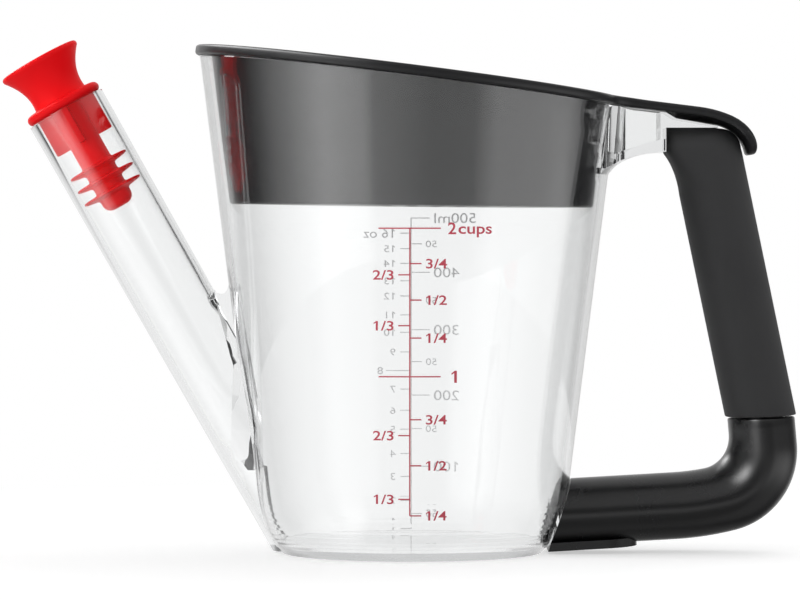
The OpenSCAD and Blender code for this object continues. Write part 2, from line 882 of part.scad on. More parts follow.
module handle_screw() {
    color([0.7, 0.7, 0.72])
        at_run()
            translate([screw_in, 0, -head_down - screw_head_t])
                difference() {
                    union() {
                        cylinder(h = screw_head_t, r = screw_head_r);
                        cylinder(h = screw_head_t + screw_len, r = screw_r);
                    }
                    for (a = [0, 90])
                        rotate([0, 0, a])
                            translate([-screw_r, -cross_w / 2, -cross_deep])
                                cube([2 * screw_r, cross_w, 2 * cross_deep]);
                }
}

module screw_cover() {
    color([0.14, 0.14, 0.15])
        difference() {
            at_run()
                cover_plate();
            inside_pad_face();
            cup_solid(fit_gap);
        }
}

jug_body();
strainer_lid();
spout_stopper();
handle_frame();
soft_grip();
handle_screw();
screw_cover();
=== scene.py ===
"""Gravy fat separator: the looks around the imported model. Metres, Z up, +X to the handle."""

import math

import bmesh
import bpy
from mathutils import Matrix, Vector
from mathutils.geometry import delaunay_2d_cdt


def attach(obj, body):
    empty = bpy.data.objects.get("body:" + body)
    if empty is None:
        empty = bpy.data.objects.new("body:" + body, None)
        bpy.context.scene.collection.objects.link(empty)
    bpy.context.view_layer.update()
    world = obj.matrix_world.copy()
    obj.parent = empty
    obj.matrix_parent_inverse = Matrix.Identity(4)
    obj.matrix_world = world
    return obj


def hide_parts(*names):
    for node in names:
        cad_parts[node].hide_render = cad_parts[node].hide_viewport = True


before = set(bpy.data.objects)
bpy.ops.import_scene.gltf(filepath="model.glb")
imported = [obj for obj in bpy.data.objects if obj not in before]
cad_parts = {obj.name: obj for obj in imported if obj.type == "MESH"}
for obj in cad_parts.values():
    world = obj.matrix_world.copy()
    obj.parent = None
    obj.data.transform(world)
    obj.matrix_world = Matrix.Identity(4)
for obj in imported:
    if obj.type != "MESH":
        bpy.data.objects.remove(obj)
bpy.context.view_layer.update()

# ---- The object's own sizes, in millimetres, as in the CAD source ------------------------------

MM = 0.001

# Cup
FLARE_RISE = math.tan(math.radians(7.15))
FOOT_R, HEEL_R, HEEL_H = 33.8, 41.2, 19.2
HEEL_BEND = 0.73 * HEEL_H
RIM_H, RIM_TILT = 122.1, math.radians(7.1)
RIM_FALL = math.tan(RIM_TILT)

# Lid
SEAT_GAP = 0.15
BAND_T, BAND_OUT = 2.5, 0.9
SKIRT_IN, SKIRT_T = 3.0, 1.8
STRAINER_H, STRAINER_T, STRAINER_TILT = 90.0, 1.8, math.radians(0.6)
HOLE_R, HOLE_PITCH, SHIELD = 1.6, 6.4, 0.3
TAB_W, TAB_T, TAB_ROUND, TAB_FILLET = 24.0, 2.3, 8.0, 7.4
TAB_CURVE, TAB_CURL, TAB_TURN, TAB_TIP = 30.0, 12.5, math.radians(24), math.radians(76)

# Handle
GRIP_LEAN, GRIP_W, GRIP_D = math.radians(11.75), 18.1, 23.2
GRIP_SLOPE = math.tan(GRIP_LEAN)
CORE_HALF_W, CORE_HALF_D = GRIP_W / 2 - 3, GRIP_D / 2 - 4
PARTING_H, PARTING_RISE, PARTING_GAP = 35.0, math.tan(math.radians(2)), 0.5

# Spout
SPOUT_LEAN, SPOUT_LEN, SPOUT_FOOT_X = math.radians(29.5), 132.3, -24.6


def rim_z(x):
    """Height of the rim plane at a distance from the axis."""
    return RIM_H - x * RIM_FALL


def cup_r(z):
    """Outer radius of the cup's straight wall at a height."""
    return HEEL_R + (z - HEEL_H) * FLARE_RISE


def quadratic(a, b, c, t):
    """Value at t of a quadratic curve from a to c, drawn to b."""
    return (1 - t) ** 2 * a + 2 * t * (1 - t) * b + t * t * c


def wall_r(z):
    """Outer radius of the cup at a height, with its curved heel."""
    if z >= HEEL_H:
        return cup_r(z)
    bend_z = HEEL_H - HEEL_BEND
    square = HEEL_H - 2 * bend_z
    t = (-bend_z + math.sqrt(bend_z * bend_z + square * z)) / square
    return quadratic(FOOT_R, cup_r(bend_z), HEEL_R, t)


ARM_END = cup_r(RIM_H) / (1 + RIM_FALL * FLARE_RISE) + 12.2
ARM_LOW = rim_z(ARM_END) - 10.1
GRIP_TOP = rim_z(ARM_END) - 3.9
GRIP_X = ARM_END + 9.8
PARTING_X = GRIP_X + (GRIP_TOP - PARTING_H) * GRIP_SLOPE

# ---- Camera: level with the upper half of the jug, square to its side --------------------------

CAMERA_DISTANCE = 1.118
CAMERA_HEIGHT = 0.085
AIM = Vector((-0.003, 0, 0.0655))
VIEW_WIDTH = 0.208


def add_camera():
    data = bpy.data.cameras.new("camera")
    data.sensor_width = 36
    data.lens = data.sensor_width * CAMERA_DISTANCE / VIEW_WIDTH
    data.clip_start = 0.01
    data.clip_end = 50
    camera = bpy.data.objects.new("camera", data)
    camera.location = (AIM.x, -CAMERA_DISTANCE, CAMERA_HEIGHT)
    camera.rotation_euler = (AIM - camera.location).to_track_quat("-Z", "Y").to_euler()
    bpy.context.scene.collection.objects.link(camera)
    bpy.context.scene.camera = camera


# ---- Node helpers ------------------------------------------------------------------------------


class Graph:
    """A node tree, with short ways to add, set and link its nodes."""

    def __init__(self, tree):
        self.nodes = tree.nodes
        self.links = tree.links

    def add(self, kind, **values):
        """A node with its properties, and its inputs where a name is an input's."""
        node = self.nodes.new(kind)
        for name, value in values.items():
            if name in node.inputs:
                node.inputs[name].default_value = value
            else:
                setattr(node, name, value)
        return node

    def put(self, socket, value):
        """Sets an input to a value, or links an output to it."""
        if isinstance(value, bpy.types.NodeSocket):
            self.links.new(value, socket)
        else:
            socket.default_value = value

    def set(self, node, values):
        """Sets or links a node's inputs by their names."""
        for name, value in values.items():
            self.put(node.inputs[name], value)

    def noise(self, scale, detail, stretch=(1, 1, 1)):
        """Noise in the row frame, in metres."""
        mapping = self.add("ShaderNodeMapping", Scale=stretch)
        texture = self.add("ShaderNodeTexNoise", Scale=scale, Detail=detail)
        place = self.add("ShaderNodeTexCoord")
        self.put(mapping.inputs["Vector"], place.outputs["Object"])
        self.put(texture.inputs["Vector"], mapping.outputs["Vector"])
        return texture.outputs["Fac"]

    def spread(self, value, to_low, to_high, low=0.3, high=0.7):
        """Maps a value's range to another one."""
        node = self.add("ShaderNodeMapRange")
        self.set(node, {"Value": value, "From Min": low, "From Max": high,
                        "To Min": to_low, "To Max": to_high})
        return node.outputs["Result"]

    def combine(self, operation, first, second):
        """A Math node on two outputs or numbers."""
        node = self.add("ShaderNodeMath", operation=operation)
        self.put(node.inputs[0], first)
        self.put(node.inputs[1], second)
        return node.outputs["Value"]

    def blend(self, factor, first, second):
        """A mix of two outputs or numbers."""
        node = self.add("ShaderNodeMix", data_type="FLOAT")
        self.set(node, {"Factor": factor, "A": first, "B": second})
        return node.outputs["Result"]

    def blend_colours(self, factor, first, second):
        """A mix of two colours."""
        node = self.add("ShaderNodeMix", data_type="RGBA")
        self.set(node, {"Factor": factor, "A": (*first, 1), "B": (*second, 1)})
        return node.outputs["Result"]

    def blend_shaders(self, factor, first, second):
        """A mix of two shaders."""
        node = self.add("ShaderNodeMixShader")
        for socket, value in zip(node.inputs, (factor, first, second)):
            self.put(socket, value)
        return node.outputs["Shader"]

    def bump(self, height, strength, distance):
        """A normal that a height has made uneven."""
        node = self.add("ShaderNodeBump", Strength=strength, Distance=distance)
        self.put(node.inputs["Height"], height)
        return node.outputs["Normal"]


def new_material(name):
    """A material with its graph, its shader and its output."""
    material = bpy.data.materials.new(name)
    material.use_nodes = True
    graph = Graph(material.node_tree)
    return material, graph, graph.nodes["Principled BSDF"], graph.nodes["Material Output"]


HARD_EDGE = math.radians(28)


def smooth_modifier():
    """A node group that shades smoothly across all edges but the hard ones."""
    group = bpy.data.node_groups.new("smooth_by_angle", "GeometryNodeTree")
    group.interface.new_socket("Geometry", in_out="INPUT", socket_type="NodeSocketGeometry")
    group.interface.new_socket("Geometry", in_out="OUTPUT", socket_type="NodeSocketGeometry")
    graph = Graph(group)
    start, end = graph.add("NodeGroupInput"), graph.add("NodeGroupOutput")
    faces = graph.add("GeometryNodeSetShadeSmooth")
    edges = graph.add("GeometryNodeSetShadeSmooth", domain="EDGE")
    angle = graph.add("GeometryNodeInputMeshEdgeAngle")
    small = graph.add("FunctionNodeCompare", data_type="FLOAT", operation="LESS_THAN")
    graph.set(small, {"A": angle.outputs["Unsigned Angle"], "B": HARD_EDGE})
    graph.set(faces, {"Geometry": start.outputs[0]})
    graph.set(edges, {"Geometry": faces.outputs["Geometry"],
                      "Shade Smooth": small.outputs["Result"]})
    graph.put(end.inputs[0], edges.outputs["Geometry"])
    return group


# ---- Materials ---------------------------------------------------------------------------------

MOST_REFLECTIONS = 2.5
MOST_BOUNCES = 6.5


def clear_plastic():
    """Clear plastic: smooth, a little grey through its depth, and open to the lamps' light."""
    material, graph, shader, output = new_material("clear_plastic")
    graph.set(shader, {
        "Base Color": (0.985, 0.99, 0.99, 1),
        "Roughness": 0.02,
        "IOR": 1.5,
        "Transmission Weight": 1,
        "Normal": graph.bump(graph.noise(22, 1), 0.04, 0.001),
    })
    # Rays that are caught in the wall, or have come very deep, go on straight
    path = graph.add("ShaderNodeLightPath")
    trapped = graph.combine("GREATER_THAN", path.outputs["Glossy Depth"], MOST_REFLECTIONS)
    deep = graph.combine("GREATER_THAN", path.outputs["Ray Depth"], MOST_BOUNCES)
    let_out = graph.combine("MAXIMUM", trapped, deep)
    straight = graph.combine("MAXIMUM", path.outputs["Is Shadow Ray"], let_out)
    open_way = graph.add("ShaderNodeBsdfTransparent", Color=(0.98, 0.98, 0.98, 1))
    depth = graph.add("ShaderNodeVolumeAbsorption", Color=(0.5, 0.51, 0.52, 1), Density=16)
    graph.set(output, {
        "Surface": graph.blend_shaders(straight, shader.outputs["BSDF"], open_way.outputs["BSDF"]),
        "Volume": depth.outputs["Volume"],
    })
    return material


def lid_plastic():
    """Dark plastic with a fine satin grain."""
    material, graph, shader, _ = new_material("lid_plastic")
    graph.set(shader, {
        "Base Color": (0.015, 0.015, 0.016, 1),
        "Specular IOR Level": 0.3,
        "Roughness": graph.spread(graph.noise(160, 4), 0.3, 0.4),
        "Normal": graph.bump(graph.noise(500, 2), 0.02, 0.00002),
    })
    return material


def frame_plastic():
    """Black plastic with a soft gloss."""
    material, graph, shader, _ = new_material("frame_plastic")
    graph.set(shader, {
        "Base Color": (0.009, 0.009, 0.0095, 1),
        "Specular IOR Level": 0.5,
        "Roughness": graph.spread(graph.noise(90, 3), 0.26, 0.32),
        "Normal": graph.bump(graph.noise(400, 2), 0.03, 0.00005),
    })
    return material


def grip_rubber():
    """Soft dark rubber: matt, with a fine moulded grain and a dusty sheen."""
    material, graph, shader, _ = new_material("grip_rubber")
    dark, light = (0.028, 0.028, 0.029), (0.038, 0.038, 0.039)
    graph.set(shader, {
        "Base Color": graph.blend_colours(graph.noise(60, 5), dark, light),
        "Roughness": 0.75,
        "Specular IOR Level": 0.3,
        "Sheen Weight": 0.05,
        "Sheen Roughness": 0.5,
        "Normal": graph.bump(graph.noise(1500, 3), 0.25, 0.0001),
    })
    return material


def stopper_silicone():
    """Red silicone: satin, with a little light carried under its skin."""
    material, graph, shader, _ = new_material("stopper_silicone")
    dark, light = (0.96, 0.001, 0.004), (1.0, 0.003, 0.008)
    graph.set(shader, {
        "Base Color": graph.blend_colours(graph.noise(90, 3), dark, light),
        "Subsurface Weight": 0.1,
        "Subsurface Radius": (0.003, 0.0006, 0.0004),
        "Subsurface Scale": 1,
        "Roughness": 0.5,
        "Specular IOR Level": 0.2,
        "Normal": graph.bump(graph.noise(900, 2), 0.1, 0.00006),
    })
    return material


def screw_steel():
    """Plated steel, lightly brushed."""
    material, graph, shader, _ = new_material("screw_steel")
    graph.set(shader, {
        "Base Color": (0.62, 0.62, 0.64, 1),
        "Metallic": 1,
        "Roughness": graph.spread(graph.noise(700, 4, (1, 1, 0.1)), 0.25, 0.45),
    })
    return material


def print_ink(name, colour, gap):
    """Screen-printed ink, a little uneven: gap is how much lighter it gets."""
    material, graph, shader, _ = new_material(name)
    light = [min(1, value + gap) for value in colour]
    graph.set(shader, {
        "Base Color": graph.blend_colours(graph.noise(900, 3), colour, light),
        "Roughness": 0.5,
    })
    return material


# ---- Mesh helpers ------------------------------------------------------------------------------

MERGE_GAP = 0.002
SHARP_EDGE = math.radians(35)


def add_piece(name, points, faces, material, body, slot, node):
    """A piece from points in millimetres, in the place of a node of the CAD model."""
    mesh = bpy.data.meshes.new(name)
    mesh.from_pydata([Vector(point) * MM for point in points], [], faces)
    shape = bmesh.new()
    shape.from_mesh(mesh)
    bmesh.ops.remove_doubles(shape, verts=shape.verts, dist=MERGE_GAP * MM)
    bmesh.ops.recalc_face_normals(shape, faces=shape.faces)
    shape.to_mesh(mesh)
    shape.free()
    mesh.shade_smooth()
    mesh.set_sharp_from_angle(angle=SHARP_EDGE)
    piece = bpy.data.objects.new(name, mesh)
    bpy.context.scene.collection.objects.link(piece)
    mesh.materials.append(material)
    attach(piece, body)
    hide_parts(node)


def bridge(low, high, count):
    """Faces between two closed rings of count points, whose first points have these numbers."""
    faces = []
    for i in range(count):
        j = (i + 1) % count
        faces.append((low + i, low + j, high + j, high + i))
    return faces


def stitch(start, rings, count):
    """Faces between rings that follow each other, the first of them from the number start."""
    faces = []
    for ring in range(rings - 1):
        faces += bridge(start + ring * count, start + (ring + 1) * count, count)
    return faces


def cap(start, count):
    """One face over a ring, whose first point has the number start."""
    return tuple(range(start, start + count))


def arc(centre, r, start, end, steps):
    """Points of an arc, angles in degrees."""
    points = []
    for i in range(steps + 1):
        a = math.radians(start + (end - start) * i / steps)
        points.append((centre[0] + r * math.cos(a), centre[1] + r * math.sin(a)))
    return points


def circle(r, steps, centre=(0, 0)):
    """Points of a circle, anticlockwise."""
    turns = [2 * math.pi * i / steps for i in range(steps)]
    return [(centre[0] + r * math.cos(a), centre[1] + r * math.sin(a)) for a in turns]


def curve(a, b, c, steps):
    """Points of a quadratic curve from a to c, drawn to b."""
    parts = [i / steps for i in range(steps + 1)]
    return [tuple(quadratic(*values, t) for values in zip(a, b, c)) for t in parts]


def squared(value, power):
    """A cosine or sine bent for an outline between an oval and a box."""
    return math.copysign(abs(value) ** power, value)


def direction(turn):
    return Vector((math.cos(turn), math.sin(turn)))


def inset(loop, distance):
    """A closed loop moved inwards, where it runs anticlockwise."""
    moved = []
    count = len(loop)
    for i in range(count):
        before, after = Vector(loop[i - 1]), Vector(loop[(i + 1) % count])
        along = (after - before).normalized()
        moved.append((loop[i][0] - along.y * distance, loop[i][1] + along.x * distance))
    return moved


def inside(loop, x, y):
    """Whether a closed loop goes round a spot."""
    found = False
    for i in range(len(loop)):
        (x0, y0), (x1, y1) = loop[i - 1], loop[i]
        if (y0 > y) != (y1 > y) and x < x0 + (x1 - x0) * (y - y0) / (y1 - y0):
            found = not found
    return found


def fill(loops, extra, keep):
    """Triangles between closed loops, with extra points inside. keep says if a spot is wanted."""
    points, edges = [], []
    for loop in loops:
        start, count = len(points), len(loop)
        points += [Vector(p) for p in loop]
        edges += [(start + i, start + (i + 1) % count) for i in range(count)]
    points += [Vector(p) for p in extra]
    found, _, faces, origin, _, _ = delaunay_2d_cdt(points, edges, [], 0, 1e-6)
    to_input = [spot[0] for spot in origin]
    wanted = []
    for face in faces:
        middle = sum((found[i] for i in face), Vector((0, 0))) / len(face)
        if keep(middle.x, middle.y):
            wanted.append(tuple(to_input[i] for i in face))
    return [tuple(p) for p in points], wanted


def smooth_step(value, low, high):
    """0 up to low, 1 from high, and an even rise between them."""
    t = min(1, max(0, (value - low) / (high - low)))
    return t * t * (3 - 2 * t)


# ---- Rim band and thumb tab ----------------------------------------------------------------------


def over_rim(x, up):
    """Height of the plane that lies up over the seated lid's underside."""
    return rim_z(x) + (SEAT_GAP + up) / math.cos(RIM_TILT)


# The tab goes on straight from the band, then bends down in two arcs
TAB_IN = (BAND_T - TAB_T) / 2
TAB_START_X = GRIP_X - 1.2
TAB_START_Z = over_rim(TAB_START_X, BAND_T - TAB_IN)
TAB_EYE = (TAB_START_X - TAB_CURVE * math.sin(RIM_TILT),
           TAB_START_Z - TAB_CURVE * math.cos(RIM_TILT))
CURL_EYE = (TAB_EYE[0] + (TAB_CURVE - TAB_CURL) * math.sin(TAB_TURN),
            TAB_EYE[1] + (TAB_CURVE - TAB_CURL) * math.cos(TAB_TURN))
MID_CURVE, MID_CURL = TAB_CURVE - TAB_T / 2, TAB_CURL - TAB_T / 2
U_START = (TAB_START_X - TAB_T / 2 * math.sin(RIM_TILT)) / math.cos(RIM_TILT)
U_TURN = U_START + MID_CURVE * (TAB_TURN - RIM_TILT)
U_END = U_TURN + MID_CURL * (TAB_TIP - TAB_TURN) + TAB_T / 2


def lid_point(u, y, h):
    """Point of the band and tab: u along its middle, h above it."""
    if u <= U_START:
        slope = RIM_TILT
        x = u * math.cos(RIM_TILT)
        z = over_rim(x, BAND_T / 2)
    elif u <= U_TURN:
        slope = RIM_TILT + (u - U_START) / MID_CURVE
        x = TAB_EYE[0] + MID_CURVE * math.sin(slope)
        z = TAB_EYE[1] + MID_CURVE * math.cos(slope)
    else:
        slope = TAB_TURN + (u - U_TURN) / MID_CURL
        x = CURL_EYE[0] + MID_CURL * math.sin(slope)
        z = CURL_EYE[1] + MID_CURL * math.cos(slope)
    return (x + h * math.sin(slope), y, z + h * math.cos(slope))


def dish(u, y):
    """How far the middle of the tab lies below its edges."""
    along = 1.25 * smooth_step(u, 65.6, 69.6) - 0.5 * smooth_step(u, 77, 83)
    return along * (1 - smooth_step(abs(y), 3, TAB_W / 2 - 1))


def ring_r(turn, inset_by):
    """Distance of a cone inside the cup's outer face from the axis, where it meets the band."""
    high = RIM_H + (SEAT_GAP + BAND_T / 2) / math.cos(RIM_TILT)
    return (cup_r(high) - inset_by) / (1 + FLARE_RISE * RIM_FALL * math.cos(turn))


def ring_spot(turn, inset_by):
    """That place on the band, as (u, y)."""
    r = ring_r(turn, inset_by)
    return (r * math.cos(turn) / math.cos(RIM_TILT), r * math.sin(turn))


def tab_edge():
    """Outer edge of the band and tab, anticlockwise, as (u, y)."""
    half = TAB_W / 2
    meeting = 0.2
    eye_y = half + TAB_FILLET
    eye_x = math.sqrt((ring_r(meeting, -BAND_OUT) + TAB_FILLET) ** 2 - eye_y ** 2)
    turn = math.atan2(eye_y, eye_x)
    corner_u = U_END - TAB_ROUND
    side = arc((corner_u, half - TAB_ROUND), TAB_ROUND, 0, 90, 12)
    steps = 16
    side += [(corner_u + (eye_x + TAB_ROUND - U_END) * i / steps, half) for i in range(1, steps)]
    side += arc((eye_x, eye_y), TAB_FILLET, 270, 180 + math.degrees(turn), 10)
    side = [(u if u > eye_x else u / math.cos(RIM_TILT), y) for u, y in side]
    steps = 150
    turns = [turn + (2 * math.pi - 2 * turn) * i / steps for i in range(1, steps)]
    return side + [ring_spot(a, -BAND_OUT) for a in turns] + [(u, -y) for u, y in reversed(side)]


def build_rim():
    """The band on the rim and the tab, as one shell with round edges."""
    count = 144
    deep = SKIRT_IN + SKIRT_T
    outer = tab_edge()
    inner = [ring_spot(-2 * math.pi * i / count, deep) for i in range(count)]
    edge_r = 0.75
    points, faces = [], []

    def half_t(u):
        return BAND_T / 2 - TAB_IN * smooth_step(u, 56, 62)

    def put(loop, sign, lift):
        """Points at a distance inside the upper face, or inside the lower one where sign is -1."""
        for u, y in loop:
            points.append(lid_point(u, y, sign * (half_t(u) - lift) - dish(u, y)))

    turns = [math.radians(90 * k / 4) for k in range(5)]
    for loop in (outer, inner):
        start = len(points)
        for sign, angles in ((-1, turns), (1, turns[::-1])):
            for a in angles:
                put(inset(loop, edge_r * (1 - math.sin(a))), sign, edge_r * (1 - math.cos(a)))
        faces += stitch(start, 2 * len(turns), len(loop))

    # The tab gets more points, for its dish
    spots = []
    u, step = 58.0, 1.4
    while u < U_END - 2:
        side = TAB_W / 2 - 1.6 - max(0, u - U_END + TAB_ROUND) * 0.5
        spots += [(u, side * k / 6) for k in range(-6, 7)]
        u += step
    edge, hole = inset(outer, edge_r), inset(inner, edge_r)

    def wanted(u, y):
        """Whether a spot lies on the band or the tab."""
        x = u * math.cos(RIM_TILT)
        turn = math.atan2(y, x)
        r = ring_r(turn, deep) + edge_r
        if x * x + y * y < r * r - 0.02:
            return False
        out = ring_r(turn, -BAND_OUT) - edge_r
        return x * x + y * y < out * out or (x > 40 and inside(edge, u, y))

    flat, triangles = fill([edge, hole], spots, wanted)
    for sign in (-1, 1):
        start = len(points)
        put(flat, sign, 0)
        faces += [tuple(start + i for i in face) for face in triangles]
    return points, faces


# ---- Skirt and strainer --------------------------------------------------------------------------


def basin_low(x):
    """Height of the strainer's underside."""
    return STRAINER_H - x * math.tan(STRAINER_TILT)


def strainer_holes():
    """Centres of the floor's holes, in rings, with none in the part towards the spout."""
    edge = cup_r(STRAINER_H) - SKIRT_IN - SKIRT_T - 2 * HOLE_R
    holes = []
    for level in range(int(edge / HOLE_PITCH) + 1):
        r = level * HOLE_PITCH
        number = max(1, 6 * level)
        for i in range(number):
            a = 2 * math.pi * i / number + (level % 2) * math.pi / number
            if r * math.cos(a) > -SHIELD * edge:
                holes.append((r * math.cos(a), r * math.sin(a)))
    return holes


def build_basin():
    """The skirt and the strainer's floor, as one shell with its holes."""
    count = 144
    points = []
    round_r, inner_round = 0.7, 1.2

    def ring(inset_by, part, up):
        """A ring on the way from up over the underside to the band's middle."""
        for c, s in circle(1, count):
            r = cup_r(STRAINER_H) - inset_by
            for _ in range(3):
                z = (basin_low(r * c) + up) * (1 - part) + over_rim(r * c, BAND_T / 2) * part
                r = cup_r(z) - inset_by
            points.append((r * c, r * s, z))

    for x, z in arc((SKIRT_IN + round_r, round_r), round_r, 270, 180, 5):
        ring(x, 0, z)
    for part in (0.25, 0.5, 0.75, 1):
        ring(SKIRT_IN, part, 0)
    deep = SKIRT_IN + SKIRT_T + 0.03
    for part in (1, 0.75, 0.5, 0.25):
        ring(deep, part, STRAINER_T + inner_round)
    for x, z in arc((deep + inner_round, STRAINER_T + inner_round), inner_round, 180, 270, 6):
        ring(x, 0, z)
    rings = len(points) // count
    faces = stitch(0, rings, count)

    hole_steps, bevel = 20, 0.25
    holes = strainer_holes()

    def near_hole(x, y):
        return any((x - a) ** 2 + (y - b) ** 2 < (HOLE_R + bevel) ** 2 * 0.98 for a, b in holes)

    wide = [circle(HOLE_R + bevel, hole_steps, centre) for centre in holes]
    for first, height in ((0, 0), ((rings - 1) * count, STRAINER_T)):
        rim = [point[:2] for point in points[first:first + count]]
        flat, triangles = fill([rim] + wide, [], lambda x, y: not near_hole(x, y))
        start = len(points)
        points += [(x, y, basin_low(x) + height) for x, y in flat]
        faces += [tuple(start + i for i in face) for face in triangles]
    wall = ((HOLE_R + bevel, 0), (HOLE_R, bevel),
            (HOLE_R, STRAINER_T - bevel), (HOLE_R + bevel, STRAINER_T))
    for centre in holes:
        start = len(points)
        for r, h in wall:
            points += [(x, y, basin_low(x) + h) for x, y in circle(r, hole_steps, centre)]
        faces += stitch(start, len(wall), hole_steps)
    return points, faces


# ---- Stopper -------------------------------------------------------------------------------------


def at_mouth():
    """Local frame of the spout in millimetres: its origin is the mouth, and z points outwards."""
    out, up = SPOUT_LEN * math.sin(SPOUT_LEAN), SPOUT_LEN * math.cos(SPOUT_LEAN)
    place = Vector((SPOUT_FOOT_X - out, 0, up))
    return Matrix.Translation(place) @ Matrix.Rotation(-SPOUT_LEAN, 4, "Y")


def build_stopper():
    """The stopper: a turned outline, and four guide ribs."""
    stem_r, stem_len, tip_r = 4.2, 29.0, 2.4
    fin_r, fin_edge, fin_z, fin_pitch = 8.18, 0.3, -17.0, 3.7
    flange_r, flange_t, low = 10.4, 2.6, SEAT_GAP
    high, edge = low + flange_t, flange_t / 2
    profile = [(0, -stem_len), (1.0, -stem_len)]
    profile += arc((stem_r - tip_r, tip_r - stem_len), tip_r, -85, 0, 8)
    for i in (2, 1, 0):
        z = fin_z - fin_pitch * i
        profile += [(stem_r, z - 1.5), (stem_r + 0.15, z - 1.1), (stem_r + 0.6, z - 0.85)]
        profile += [(fin_r - 0.7, z - 0.42)] + arc((fin_r - fin_edge, z), fin_edge, -75, 75, 6)
        profile += [(fin_r - 0.7, z + 0.4), (stem_r + 0.6, z + 0.6)]
        profile += [(stem_r + 0.15, z + 0.8), (stem_r, z + 1.2)]
    profile += [(stem_r, low)] + arc((flange_r - edge, low + edge), edge, -90, 90, 12)
    profile += curve((7.3, high), (6.2, 8), (10.8, 13.4), 16)
    profile += arc((10.2, 13.9), 0.7, -20, 150, 9)
    profile += curve((8.9, 13.7), (5.9, 11), (0, 11), 12)
    count = 96
    place = at_mouth()
    points = [place @ Vector((x, y, z)) for r, z in profile for x, y in circle(r, count)]
    faces = stitch(0, len(profile), count)

    # The ribs have round edges, and run from inside the stem to the bore
    rib_len, half, reach, edge_r = 9.9, 0.85, 8.18, 0.35
    section = [(2.0, -half), (reach - 0.6, -half)]
    section += arc((reach - edge_r, -half + edge_r), edge_r, -90, 0, 4)
    section += arc((reach - edge_r, half - edge_r), edge_r, 0, 90, 4)
    section += [(reach - 0.6, half), (2.0, half)]
    levels = ((-rib_len, 0.3), (-rib_len + 0.1, 0.1), (-rib_len + 0.3, 0), (low + edge, 0))
    for side in range(4):
        turn = place @ Matrix.Rotation(math.pi / 2 * side, 4, "Z")
        start = len(points)
        for z, slim in levels:
            for x, y in section:
                points.append(turn @ Vector((x - (slim if x > 3 else 0), y * (1 - slim / half), z)))
        faces += stitch(start, len(levels), len(section))
        faces += [cap(start, len(section)), cap(len(points) - len(section), len(section))]
    return points, faces


# ---- Soft grip -----------------------------------------------------------------------------------


def grip_section(z, steps):
    """The sleeve's outline at a height, anticlockwise from the rear."""
    middle = GRIP_X + (GRIP_TOP - z) * GRIP_SLOPE
    half = GRIP_W / 2 / math.cos(GRIP_LEAN)
    left, right = middle - half, middle + half
    # Under the arm the sleeve has a curved lip to the front
    lip_fall = 17
    lip_end = GRIP_TOP - lip_fall
    if z > ARM_LOW:
        left = ARM_END + 0.02
    elif z > lip_end:
        a, b = (ARM_END, ARM_LOW), (ARM_END + 3.2, ARM_LOW - 3.6)
        c = (GRIP_X + lip_fall * GRIP_SLOPE - half, lip_end)
        low, high = 0.0, 1.0
        for _ in range(30):
            t = (low + high) / 2
            if quadratic(a[1], b[1], c[1], t) > z:
                low = t
            else:
                high = t
        left = quadratic(a[0], b[0], c[0], t)
    squareness = smooth_step(z, lip_end, ARM_LOW + 1)
    # The top is round to the rear and the sides, and has a small bevel to the front
    corner_r, bevel, shoulder = 5.5, 0.8, 6.0
    corner_z = GRIP_TOP - corner_r
    if z > corner_z:
        eye = GRIP_X + half + corner_r * GRIP_SLOPE - corner_r / math.cos(GRIP_LEAN)
        right = min(right, eye + math.sqrt(max(0, corner_r ** 2 - (z - corner_z) ** 2)))
    if z > GRIP_TOP - bevel:
        left += z - (GRIP_TOP - bevel)
    deep = GRIP_D / 2
    if z > GRIP_TOP - shoulder:
        deep -= shoulder - math.sqrt(max(0, shoulder ** 2 - (z - GRIP_TOP + shoulder) ** 2))
    seat = middle + (min(middle, right - 3) - middle) * squareness
    points = []
    for c, s in circle(1, steps):
        power = 2 / (2.35 if c >= 0 else 2.35 + 2.6 * squareness)
        x = seat + squared(c, power) * ((right - seat) if c >= 0 else (seat - left))
        points.append((x, squared(s, power) * deep, z))
    return points


def build_grip():
    """The soft sleeve, hollow for its core and open at the parting line."""
    steps = 72
    bottom, straight_end, shoulder = PARTING_H - 0.6, 92, 6
    round_z = GRIP_TOP - shoulder
    levels = [bottom + (straight_end - bottom) * k / 12 for k in range(1, 13)]
    levels += [straight_end + (round_z - straight_end) * k / 16 for k in range(1, 17)]
    levels += [round_z + shoulder * math.sin(math.radians(90 * k / 12)) for k in range(1, 13)]
    points = []
    for z in levels:
        points += grip_section(z, steps)
    # The parting line rises to the rear, and its edge is a little round
    first = len(points)
    for drop, slim in ((0, 0.35), (0.1, 0.1), (0.35, 0)):
        scale = 1 - slim / 9
        for x, y, _ in grip_section(bottom, steps):
            cut = PARTING_H + PARTING_GAP + (x - PARTING_X) * PARTING_RISE
            x -= (cut - bottom) * GRIP_SLOPE
            middle = PARTING_X + (PARTING_H - cut) * GRIP_SLOPE
            x = middle + (x - middle) * scale - drop * GRIP_SLOPE
            points.append((x, y * scale, cut + drop))
    # The bore for the core
    bore = len(points)
    fit, top, bore_steps = 0.02, 100.0, 5
    for k in range(bore_steps + 1):
        for c, s in circle(1, steps):
            x = squared(c, 0.85) * (CORE_HALF_W + fit) / math.cos(GRIP_LEAN)
            y = squared(s, 0.85) * (CORE_HALF_D + fit)
            low = PARTING_H + PARTING_GAP + x * PARTING_RISE
            z = low + (top - low) * k / bore_steps
            points.append((PARTING_X + (PARTING_H - z) * GRIP_SLOPE + x, y, z))
    faces = stitch(first, 3, steps) + bridge(first + 2 * steps, 0, steps)
    faces += stitch(0, len(levels), steps) + [cap(first - steps, steps)]
    faces += stitch(bore, bore_steps + 1, steps) + [cap(bore + bore_steps * steps, steps)]
    faces += bridge(first, bore, steps)
    return points, faces


# ---- Elbow ---------------------------------------------------------------------------------------

